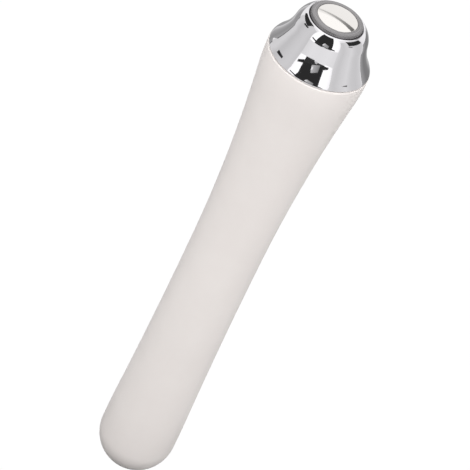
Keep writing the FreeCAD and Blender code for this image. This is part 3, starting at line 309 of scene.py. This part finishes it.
# %% Make the button
BUTTON_RISE, BUTTON_ROUND, BUTTON_DOME = 0.23, 0.12, 38.0
FLANGE_TOP, FLANGE_LOW, CUP_WALL, CUP_ROOF, CUP_START = 0.3, 1.3, 0.8, 1.57, 0.5
top = ring_top + BUTTON_RISE
middle = np.array([0, top - BUTTON_DOME])
inset = BUTTON_R - BUTTON_ROUND
lean = math.degrees(math.acos(inset / (BUTTON_DOME - BUTTON_ROUND)))
edge_at = middle + (BUTTON_DOME - BUTTON_ROUND) * towards(lean)
flange_top, flange_low = seat_z - FLANGE_TOP, seat_z - FLANGE_LOW
cup_r, cup_z = BUTTON_R - CUP_WALL, top - CUP_ROOF
button = turned("push_button", joined(
    (0, cup_z), np.linspace((CUP_START, cup_z), (cup_r, cup_z), 6), (cup_r, flange_low), (FLANGE_R, flange_low),
    (FLANGE_R, flange_top), (BUTTON_R, flange_top), arc(edge_at, BUTTON_ROUND, 0, lean, 8),
    arc(middle, BUTTON_DOME, lean, 90, 40)))
print("button top at height", round(top, 3))
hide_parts("button_cap")
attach(button, "button")

# %% [markdown]
# ## The springs
# Under the cap a cone-shaped spring presses on the cell, and a wider one lifts the button again. A spring could
# be a curve with a round bevel, or one turn repeated by an Array modifier. Here the wire is a tube on a screw
# line, so that it stays one closed mesh.

# %% Wound springs
def wound(name, radii, heights, turns, wire, steps=48, around=12):
    """Round wire on a screw line. At turn t its middle is (r cos 2 pi t, r sin 2 pi t, z), with r and z running
    evenly between the two given, and the wire's circle stands square to the line. All lengths are in metres."""
    turn = np.linspace(0, turns, turns * steps + 1)[:, None]
    share, angle = turn / turns, 2 * math.pi * turn
    outward = np.concatenate([np.cos(angle), np.sin(angle), np.zeros_like(angle)], axis=1)
    middle = outward * (radii[0] + (radii[1] - radii[0]) * share)
    middle[:, 2:] = heights[0] + (heights[1] - heights[0]) * share
    along = np.gradient(middle, axis=0)
    up = np.cross(along, outward)
    side = np.cross(up, along)
    up, side = (v / np.linalg.norm(v, axis=1, keepdims=True) for v in (up, side))
    circle = np.linspace(0, 2 * math.pi, around, endpoint=False)[:, None]
    points = middle[:, None] + wire * (side[:, None] * np.cos(circle) + up[:, None] * np.sin(circle))
    count = len(points) * around
    ends = [list(range(around)), list(range(count - 1, count - around - 1, -1))]
    piece = made_mesh(name, points.reshape(-1, 3), grid_quads(len(points), around, False, True).tolist() + ends)
    print(name, turns, "turns,", len(piece.data.polygons), "faces")
    return piece


# %% Make the springs
CELL_RADII, CELL_TURNS, CELL_WIRE = (4.6 * MM, 2.8 * MM), 5, 0.3 * MM
BUTTON_RADII, BUTTON_TURNS, BUTTON_WIRE, PRESS = (4.76 * MM, 4.76 * MM), 3, 0.2 * MM, 0.7 * MM
low, high = (corner[2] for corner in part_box("cell_spring"))
cell_coil = wound("cell_coil", CELL_RADII, (high - CELL_WIRE, low + CELL_WIRE), CELL_TURNS, CELL_WIRE)
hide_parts("cell_spring")
low, high = (corner[2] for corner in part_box("button_spring"))
button_coil = wound("button_coil", BUTTON_RADII, (low + BUTTON_WIRE, high - BUTTON_WIRE), BUTTON_TURNS,
                    BUTTON_WIRE)
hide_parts("button_spring")
for coil in (cell_coil, button_coil):
    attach(coil, "cap")
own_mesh(button_coil)

# %% [markdown]
# ## Finishes
# A finish could be painted or come from image files. Here it is a Principled shader with its even values on its
# own sockets, and noise only where the real surface varies: in its colour, in its roughness, or in fine
# height. Noise in the object's own coordinates stays put on the piece, whatever moves.

# %% Finish helpers
NOISE_MIDDLE, TINT_MIDDLE = (0.3, 0.7), (0.35, 0.65)


def finish(name, colour, **values):
    """A material whose Principled shader has these values on its own sockets."""
    made = bpy.data.materials.new(name)
    made.use_nodes = True
    shader = made.node_tree.nodes["Principled BSDF"]
    shader.inputs["Base Color"].default_value = (*colour, 1)
    for label, number in values.items():
        shader.inputs[label.replace("_", " ")].default_value = number
    return made, shader


def add(made, kind, **inputs):
    """A node of a kind, with numbers put on its inputs and other sockets linked to them."""
    item = made.node_tree.nodes.new("ShaderNode" + kind)
    for label, given in inputs.items():
        socket = item.inputs[label.replace("_", " ")]
        if isinstance(given, bpy.types.NodeSocket):
            made.node_tree.links.new(given, socket)
        else:
            socket.default_value = given
    return item


def noise_on(made, scale, detail=3.0, stretch=(1, 1, 1)):
    """Noise of a scale per metre, in the object's own coordinates, stretched per axis."""
    place = add(made, "TexCoord").outputs["Object"]
    place = add(made, "Mapping", Vector=place, Scale=stretch).outputs["Vector"]
    return add(made, "TexNoise", Vector=place, Scale=scale, Detail=detail).outputs["Fac"]


def spread_to(made, noise, low, high, socket):
    """Noise's middle range mapped to low and high on a socket."""
    first, last = NOISE_MIDDLE
    ramp = add(made, "MapRange", Value=noise, From_Min=first, From_Max=last, To_Min=low, To_Max=high)
    made.node_tree.links.new(ramp.outputs["Result"], socket)


def grain(made, shader, height, depth):
    """Fine height on the surface, depth in metres."""
    bump = add(made, "Bump", Height=height, Strength=1.0, Distance=depth)
    made.node_tree.links.new(bump.outputs["Normal"], shader.inputs["Normal"])


def tinted(made, shader, noise, first, second):
    """The base colour runs between two colours with the noise."""
    mix = add(made, "ValToRGB", Fac=noise)
    for stop, position, colour in zip(mix.color_ramp.elements, TINT_MIDDLE, (first, second)):
        stop.position, stop.color = position, (*colour, 1)
    made.node_tree.links.new(mix.outputs["Color"], shader.inputs["Base Color"])


# %% [markdown]
# The skin is matte silicone with a powdery touch. Its colour is nearly even, so most of the finish is in the
# light: a broad soft gloss, a little sheen where it is seen edge on, and a grain of a few thousandths of a
# millimetre. Light scattered inside would also be true, but the wall is so pale that it hardly shows.

# %% Silicone
silicone, shader = finish("silicone", (0.78, 0.74, 0.71), Roughness=0.55, Sheen_Weight=0.15,
                          Sheen_Roughness=0.5)
tinted(silicone, shader, noise_on(silicone, 90), (0.778, 0.730, 0.706), (0.792, 0.746, 0.722))
spread_to(silicone, noise_on(silicone, 400), 0.5, 0.6, shader.inputs["Roughness"])
grain(silicone, shader, noise_on(silicone, 5000, 2.0), 0.000006)
skin.data.materials.append(silicone)
print("silicone has", len(silicone.node_tree.nodes), "shader nodes")

# %% [markdown]
# Plated and polished metal is a mirror with almost no haze. A perfect mirror looks false, so the roughness
# drifts a little, as buffing leaves it. All the rest of its look is the room that it reflects. The bell is
# chromed, which looks cool, and the button is nickel, which is a little warmer.

# %% Polished plating
def plating(name, colour):
    """A polished metal of one colour, with slight haze that comes and goes."""
    made, shader = finish(name, colour, Metallic=1.0, Roughness=0.04)
    spread_to(made, noise_on(made, 260), 0.025, 0.06, shader.inputs["Roughness"])
    return made


chrome = plating("chrome", (0.80, 0.788, 0.808))
bell.data.materials.append(chrome)
button.data.materials.append(plating("nickel", (0.785, 0.76, 0.738)))
print("plated:", [piece.name for piece in (bell, button)])

# %% [markdown]
# The ring's face carries the fine circles of the lathe. They could be real grooves, but at this size noise that
# depends only on the distance from the axis does as well. It drives colour, roughness and height together, and
# stretched highlights follow from an anisotropic shader whose grain runs round the axis.

# %% Spun aluminium
spun, shader = finish("spun_aluminium", (0.27, 0.27, 0.275), Metallic=1.0, Roughness=0.32, Anisotropic=0.6)
tangent = add(spun, "Tangent")
tangent.direction_type, tangent.axis = "RADIAL", "Z"
spun.node_tree.links.new(tangent.outputs[0], shader.inputs["Tangent"])
place = add(spun, "TexCoord").outputs["Object"]
level = add(spun, "Mapping", Vector=place, Scale=(1, 1, 0)).outputs["Vector"]
radius = add(spun, "VectorMath", Vector=level)
radius.operation = "LENGTH"
turn = add(spun, "CombineXYZ", X=radius.outputs["Value"]).outputs["Vector"]
lines = add(spun, "TexNoise", Vector=turn, Scale=4200, Detail=3).outputs["Fac"]
spread_to(spun, lines, 0.24, 0.42, shader.inputs["Roughness"])
tinted(spun, shader, lines, (0.192, 0.186, 0.189), (0.384, 0.372, 0.378))
grain(spun, shader, lines, 0.000004)
ring.data.materials.append(spun)
print("spun aluminium has", len(spun.node_tree.nodes), "shader nodes")

# %% [markdown]
# ## What is seen and what gives light
# The wand hangs above a pale floor in plain soft light, on white. More light on the wand would also whiten
# the ground behind it, but would wash out the skin. So the sky and the floor look white to the camera and in
# reflections alone, and what falls on the wand stays at a plain level.

# %% What the eye and the mirror see
def seen_directly(tree):
    """1 for rays from the camera, off a mirror or through glass, and 0 for the light that falls on things."""
    rays = tree.nodes.new("ShaderNodeLightPath")
    seen = rays.outputs["Is Camera Ray"]
    for label in ("Is Glossy Ray", "Is Transmission Ray"):
        either = tree.nodes.new("ShaderNodeMath")
        either.operation = "MAXIMUM"
        tree.links.new(seen, either.inputs[0])
        tree.links.new(rays.outputs[label], either.inputs[1])
        seen = either.outputs[0]
    return seen


def scaled(tree, amount, low, high):
    """0 to 1 mapped to low to high."""
    ramp = tree.nodes.new("ShaderNodeMapRange")
    ramp.inputs["To Min"].default_value, ramp.inputs["To Max"].default_value = low, high
    tree.links.new(amount, ramp.inputs["Value"])
    return ramp.outputs["Result"]


# %% [markdown]
# The sky is one even white. A picture of a studio could light the wand as well, but then its own shapes would
# show in the bell, and the cards that come later couldn't be placed freely.

# %% World
SKY_LIGHT, SKY_SEEN = 0.62, 1.0
world = bpy.data.worlds.new("world")
bpy.context.scene.world = world
world.use_nodes = True
sky = world.node_tree
background = sky.nodes["Background"]
background.inputs["Color"].default_value = (1, 1, 1, 1)
sky.links.new(scaled(sky, seen_directly(sky), SKY_LIGHT, SKY_SEEN), background.inputs["Strength"])
print("the sky gives", SKY_LIGHT, "of light and looks", SKY_SEEN, "bright")

# %% [markdown]
# The floor is one large square under the tip. A backdrop that curves up behind would do too, but the camera
# looks down, so a flat floor fills the picture.

# %% Floor
FLOOR_Z, FLOOR_HALF, FLOOR_GLOW, GLOW_SHARE = -0.08, 4.0, 1.16, 0.85
floor = bpy.data.objects.new("floor", bpy.data.meshes.new("floor"))
sides = np.array([(-1, -1), (1, -1), (1, 1), (-1, 1)]) * FLOOR_HALF
floor.data.from_pydata([(x, y, FLOOR_Z) for x, y in sides], [], [(0, 1, 2, 3)])
bpy.context.scene.collection.objects.link(floor)
pale, shader = finish("pale_floor", (0.10, 0.10, 0.10), Roughness=0.8)
tree = pale.node_tree
glow = add(pale, "Emission", Strength=FLOOR_GLOW)
both = tree.nodes.new("ShaderNodeMixShader")
tree.links.new(scaled(tree, seen_directly(tree), 0.0, GLOW_SHARE), both.inputs["Fac"])
tree.links.new(shader.outputs[0], both.inputs[1])
tree.links.new(glow.outputs[0], both.inputs[2])
tree.links.new(both.outputs[0], tree.nodes["Material Output"].inputs["Surface"])
floor.data.materials.append(pale)
print("floor", 2 * FLOOR_HALF, "m wide at height", FLOOR_Z, "m")

# %% [markdown]
# Four soft lamps stand near the bell, three in front and one behind, and shine down at the wand. So the barrel
# is a little brighter towards the bell, and its tip is darker below. They stand low enough for the skin's lip,
# which looks up, not to burn out. One large lamp would light the front well and leave the back dull.

# %% Lamps
AIM = np.array([0, 0, 0.141])
LAMP_AWAY, LAMP_SIDE = 0.50, 0.45


def directions(azimuth, elevation):
    """Unit vectors: azimuth 0 points to the camera's side and turns towards +X; elevation is above level."""
    a, e = np.radians(azimuth), np.radians(elevation)
    return np.stack([np.sin(a) * np.cos(e), -np.cos(a) * np.cos(e), np.sin(e)], axis=-1)


def lamp(name, azimuth, elevation, watts):
    """A square soft lamp half a metre from the bell, which it faces. Cameras and mirrors don't show it."""
    made = bpy.data.objects.new(name, bpy.data.lights.new(name, "AREA"))
    made.data.size, made.data.energy = LAMP_SIDE, watts
    bpy.context.scene.collection.objects.link(made)
    away = Vector(directions(azimuth, elevation))
    made.location = Vector(AIM) + away * LAMP_AWAY
    made.rotation_euler = away.to_track_quat("Z", "Y").to_euler()
    made.visible_camera = made.visible_glossy = False


lamp("key", -6, 26, 1.45)
lamp("left_fill", -62, 22, 0.95)
lamp("right_fill", 74, 20, 1.3)
lamp("back_fill", 184, 16, 1.6)
print("lamps, in watts:", {light.name: round(light.energy, 2) for light in bpy.data.lights})

# %% [markdown]
# A black dish stands under the tip. It takes away the light from below, so that the round end grows darker
# towards its underside. A lamp can't take light away, and a darker sky would dull the whole barrel.

# %% Dish under the tip
dish = turned("dish", [(0, -5), (17, -5), (26, 2), (27, 2), (18, -6), (0, -6)], 48)
dish.data.materials.append(finish("black_felt", (0.02, 0.02, 0.02), Roughness=0.9)[0])
dish.visible_camera = False

# %% [markdown]
# ## A photographer's tent
# A mirror shows only what stands round it, and a picture wrapped round the sky could stand in for that. Plain
# cards are easier to place: each hangs at an azimuth and a height above level as seen from the bell, with its
# own shade, and only reflections see it. Dark ones draw the crisp marks that make metal look polished.

# %% Cards of the tent
CARD_GRID, DARK = 17, 0.03


def glowing(name, angles, distance, shade):
    """A sheet over a grid of (azimuth, elevation) angles: each point is that direction times the distance. It
    glows by its own shade, one number per grid point, and only reflections see it."""
    made = grid_mesh(name, AIM + directions(angles[..., 0], angles[..., 1]) * distance, False, False)
    made.data.attributes.new("shade", "FLOAT", "POINT").data.foreach_set("value", shade.ravel())
    cloth = bpy.data.materials.new(name)
    cloth.use_nodes = True
    cloth.node_tree.nodes.clear()
    read = add(cloth, "Attribute")
    read.attribute_name = "shade"
    light = add(cloth, "Emission", Strength=read.outputs["Fac"])
    output = cloth.node_tree.nodes.new("ShaderNodeOutputMaterial")
    cloth.node_tree.links.new(light.outputs[0], output.inputs["Surface"])
    made.data.materials.append(cloth)
    made.visible_camera = made.visible_diffuse = made.visible_shadow = made.visible_transmission = False


def card(name, shades, distance, corners):
    """A four-cornered sheet: angles run evenly between (azimuth, elevation) corners, given low left, low right,
    high right, high left. Its shades are spread evenly from its left to its right."""
    share = np.linspace(0, 1, CARD_GRID)
    low = np.outer(1 - share, corners[0]) + np.outer(share, corners[1])
    high = np.outer(1 - share, corners[3]) + np.outer(share, corners[2])
    angles = low[None] * (1 - share)[:, None, None] + high[None] * share[:, None, None]
    shades = np.atleast_1d(shades)
    across = np.interp(share, np.linspace(0, 1, len(shades)), shades)
    glowing(name, angles, distance, np.tile(across, (CARD_GRID, 1)))


# %% [markdown]
# In front stand a camera on its dark stand and a softbox on each side of it, above a bright table. The bell
# shows them twice, once near its edge and once under the ring. A modelled camera would be many pieces for a mark
# a few millimetres wide, so plain cards stand for it.

# %% What stands in front of the bell
front = [
    ("camera_stand", DARK, 0.60, [(-28, 8), (22, 8), (28, 66), (-28, 66)]),
    ("camera_foot", 0.04, 0.55, [(-28, 6), (-6, 6), (-4, 14), (-28, 18)]),
    ("camera_back", [0.58, 0.42, 0.26], 0.57, [(-7, 16), (12, 10), (13, 24), (-2, 30)]),
    ("camera_strap", 0.62, 0.54, [(-4, 7), (4, 7), (3, 11), (-3, 11)]),
    ("camera_glint", 0.95, 0.55, [(-6, 19), (-2, 18), (-1, 23), (-4, 26)]),
    ("left_rail", DARK, 0.60, [(-42, 17), (-26, 12), (-26, 19), (-42, 22)]),
    ("right_rail", DARK, 0.60, [(20, 9), (33, 8), (33, 12), (20, 17)]),
    ("softbox_left", [1.2, 1.35, 1.35], 0.65, [(-44, 4), (-28, 4), (-28, 64), (-52, 62)]),
    ("softbox_right", [1.35, 1.35, 1.15], 0.65, [(22, 4), (42, 4), (56, 62), (26, 64)]),
    ("front_table", [0.84, 0.94, 0.92, 0.95, 0.88], 0.26, [(-50, -50), (46, -50), (44, 6), (-46, 6)]),
]
for sheet in front:
    card(*sheet)
print(len(front), "cards in front")

# %% [markdown]
# The side walls are grey cloth, and its folds are the changes of shade from the left of a card to its right.
# Each wall has one dark bar, which draws the short black mark below the ring. The roof is white.

# %% Walls, bars and roof of the tent
LEFT_WALL = [0.76, 0.80, 0.64, 0.72, 0.76, 0.70]
RIGHT_WALL = [0.80, 0.70, 0.78, 0.84, 0.72, 0.70, 0.78]
around = [
    ("left_wall", LEFT_WALL, 1.0, [(-122, -8), (-44, 2), (-46, 50), (-122, 50)]),
    ("left_wall_low", LEFT_WALL, 0.25, [(-116, -60), (-46, -60), (-44, 4), (-122, -6)]),
    ("right_wall", RIGHT_WALL, 1.0, [(42, 2), (122, -8), (122, 50), (46, 50)]),
    ("right_wall_low", RIGHT_WALL, 0.25, [(46, -60), (120, -60), (122, -6), (42, 4)]),
    ("left_bar", DARK, 0.80, [(-128, 17), (-81, 29), (-81, 52), (-128, 32)]),
    ("right_bar", DARK, 0.80, [(78, 33), (120, 15), (120, 31), (78, 52)]),
    ("left_tick", DARK, 0.70, [(-93, 17), (-75, 25), (-75, 31), (-93, 24)]),
    ("right_tick", 0.15, 0.70, [(76, 27), (88, 21), (88, 24), (76, 31)]),
    ("roof_left", 1.25, 0.90, [(-180, 58), (0, 58), (0, 90), (-180, 90)]),
    ("roof_right", 1.25, 0.90, [(0, 58), (180, 58), (180, 90), (0, 90)]),
]
for sheet in around:
    card(*sheet)
print(len(around), "cards around")

# %% [markdown]
# Behind, the wall is bright, and the gap under its top cloth draws the thin line across the button. Grey cards
# below it darken the sides of the bell, which would otherwise be lost against the white ground.

# %% What stands behind the bell
behind = [
    ("back_top", 1.25, 0.90, [(150, 42), (210, 32), (210, 60), (150, 60)]),
    ("back_wall", [0.98, 1.1, 1.06, 0.98], 1.0, [(122, -4), (238, -4), (238, 42), (122, 42)]),
    ("back_gap", [0.06, 0.2, 0.8], 0.85, [(150, 41), (192, 31), (192, 32), (150, 48)]),
    ("back_left_flag", [0.75, 0.42, 0.34, 0.42], 0.24, [(-154, -60), (-116, -60), (-118, 2), (-152, 6)]),
    ("back_left_edge", 0.10, 0.23, [(-118, -40), (-116, -40), (-116, 2), (-118, 2)]),
    ("back_right_flag", [0.42, 0.24, 0.26, 0.55], 0.24, [(124, -60), (170, -60), (166, 2), (122, 4)]),
    ("back_low", 0.50, 0.26, [(164, -62), (214, -62), (214, -26), (164, -26)]),
    ("back_left_low", [0.34, 0.40], 0.25, [(-180, -28), (-150, -28), (-150, 5), (-180, 1)]),
]
for sheet in behind:
    card(*sheet)
print(len(behind), "cards behind")

# %% [markdown]
# ## What is inside
# Each hidden part keeps its engineering shape and gets the finish of the real one. Plastic and rubber come out
# of a mould with a fine spark-eroded grain and an uneven gloss. One function makes them all, because only
# colour, gloss and depth of grain differ.

# %% Moulded plastics and rubber
def two_tints(colour, low, high):
    """A colour times low and times high, as two colours that don't go past 1."""
    return [[min(c * factor, 1) for c in colour] for factor in (low, high)]


def moulded(name, colour, roughness, depth):
    """Plastic or rubber from a mould: nearly one colour, uneven gloss, and a grain of a given depth."""
    made, shader = finish(name, colour, Roughness=roughness)
    tinted(made, shader, noise_on(made, 150), *two_tints(colour, 0.98, 1.02))
    spread_to(made, noise_on(made, 700), roughness - 0.06, roughness + 0.06, shader.inputs["Roughness"])
    grain(made, shader, noise_on(made, 6500, 2.0), depth)
    return made


looks = {
    "core_plastic": moulded("core_plastic", (0.78, 0.77, 0.74), 0.5, 0.000008),
    "insert_plastic": moulded("insert_plastic", (0.12, 0.12, 0.125), 0.45, 0.000008),
    "seal_rubber": moulded("seal_rubber", (0.035, 0.035, 0.036), 0.6, 0.000006),
    "chip": moulded("chip", (0.025, 0.025, 0.027), 0.5, 0.000005),
    "sensor": moulded("sensor", (0.05, 0.05, 0.055), 0.3, 0.000003),
    "wire_jacket": moulded("wire_jacket", (0.45, 0.05, 0.04), 0.4, 0.000004),
}
print("moulded finishes:", sorted(looks))

# %% [markdown]
# Shafts, cans and springs are drawn or spun, which leaves streaks. The same noise, squeezed along one axis,
# gives streaks along the wand, and squeezed along the other two it gives rings around it.

# %% Metals
def drawn_metal(name, colour, roughness, stretch):
    """Metal with fine streaks: noise drawn out along the axes whose stretch is small."""
    made, shader = finish(name, colour, Metallic=1.0, Roughness=roughness)
    streaks = noise_on(made, 2600, 3.0, stretch)
    spread_to(made, streaks, roughness - 0.07, roughness + 0.1, shader.inputs["Roughness"])
    tinted(made, shader, noise_on(made, 420), *two_tints(colour, 0.93, 1.05))
    grain(made, shader, streaks, 0.000003)
    return made


ALONG, ROUND = (1, 1, 0.04), (0.15, 0.15, 1)
looks["steel"] = drawn_metal("steel", (0.60, 0.60, 0.61), 0.28, ALONG)
looks["dome_aluminium"] = drawn_metal("dome_aluminium", (0.72, 0.72, 0.73), 0.35, ROUND)
looks["bronze"] = drawn_metal("bronze", (0.55, 0.36, 0.17), 0.4, ROUND)
looks["contact_metal"] = drawn_metal("contact_metal", (0.83, 0.64, 0.28), 0.25, ALONG)
print("metals:", [looks[k].name for k in ("steel", "dome_aluminium", "bronze", "contact_metal")])

# %% [markdown]
# Three thin layers have a look of their own: the green board with the weave of its glass cloth, the shrunk
# wrap of the cell with soft wrinkles, and the heating film, whose copper tracks run round it as waves.

# %% Board, cell wrap and heating film
board, shader = finish("board", (0.02, 0.16, 0.07), Roughness=0.3, Coat_Weight=0.4)
weave = add(board, "TexBrick", Scale=900.0, Mortar_Size=0.03,
            Vector=add(board, "TexCoord").outputs["Object"],
            Color1=(0.02, 0.17, 0.075, 1), Color2=(0.018, 0.14, 0.062, 1), Mortar=(0.03, 0.22, 0.10, 1))
board.node_tree.links.new(weave.outputs["Color"], shader.inputs["Base Color"])
looks["board"] = board
wrap, shader = finish("cell_wrap", (0.04, 0.16, 0.42), Roughness=0.22, Coat_Weight=0.5)
tinted(wrap, shader, noise_on(wrap, 60), (0.036, 0.15, 0.40), (0.045, 0.17, 0.44))
grain(wrap, shader, noise_on(wrap, 350, 2.0, (1, 1, 0.3)), 0.00002)
looks["wrap"] = wrap
film, shader = finish("heating_film", (0.50, 0.22, 0.05), Roughness=0.3, Coat_Weight=0.3)
tracks = add(film, "TexWave", Scale=430.0, Distortion=1.5, Detail=1.0, Detail_Scale=2.0,
             Vector=add(film, "TexCoord").outputs["Object"])
tracks.bands_direction = "Z"
tinted(film, shader, tracks.outputs["Fac"], (0.48, 0.20, 0.045), (0.72, 0.42, 0.22))
looks["film"] = film
print("layers:", [looks[k].name for k in ("board", "wrap", "film")])

# %% Every engineering part gets its finish
looks.update({"silicone": silicone, "bright_cap": chrome, "spun_ring": spun})
slots = {entry["node"]: entry["material_slot"] for entry in frame["record"]["subparts"]}
for coil in (cell_coil, button_coil):
    coil.data.materials.append(looks["steel"])
for name, item in parts.items():
    item.data.materials.clear()
    item.data.materials.append(looks[slots[name]])
print(len(parts), "parts in", len(set(slots.values())), "finishes")
